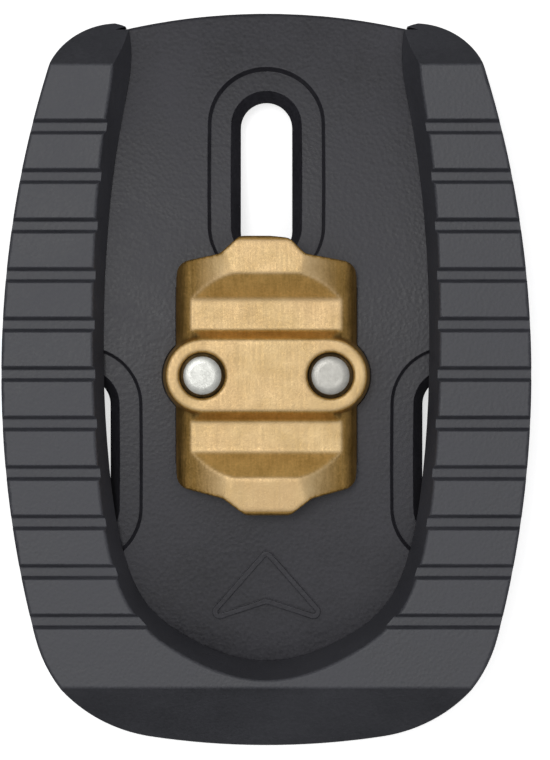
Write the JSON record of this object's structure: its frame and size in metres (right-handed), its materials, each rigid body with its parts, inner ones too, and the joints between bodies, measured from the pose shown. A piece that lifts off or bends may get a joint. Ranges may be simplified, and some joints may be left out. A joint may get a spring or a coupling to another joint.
{
  "type": "three-bolt road shoe cleat",
  "caption": "Road cycling shoe cleat: curved base plate with three bolt slots, a ribbed walking cover that lifts off, and a brass pedal cleat held by screws.",
  "frame": {"origin": "middle of the bounding box at the level that the sole side stands on", "axes": "+Z from the shoe sole towards the ground, +Y to the nose of the cleat, +X to the right seen from the ground side"},
  "size_m": [0.0538, 0.0752, 0.0124],
  "materials": {
    "plate_nylon": "fine moulded satin",
    "cover_rubber": "fine moulded satin",
    "cleat_brass": "bead blasted, brushed on the top faces",
    "zinc_steel": "brushed",
    "bright_steel": "turned and plated"
  },
  "bodies": {
    "base": {"base_plate": "plate_nylon", "brass_cleat": "cleat_brass", "backing_plate": "zinc_steel", "cleat_screw_left": "bright_steel", "cleat_screw_right": "bright_steel"},
    "cover": {"tread_cover": "cover_rubber"}
  },
  "joints": [
    {"name": "cover_lift", "type": "slide", "parent": "base", "child": "cover", "axis": [0, 0, 1], "range_m": [0, 0.02]}
  ]
}
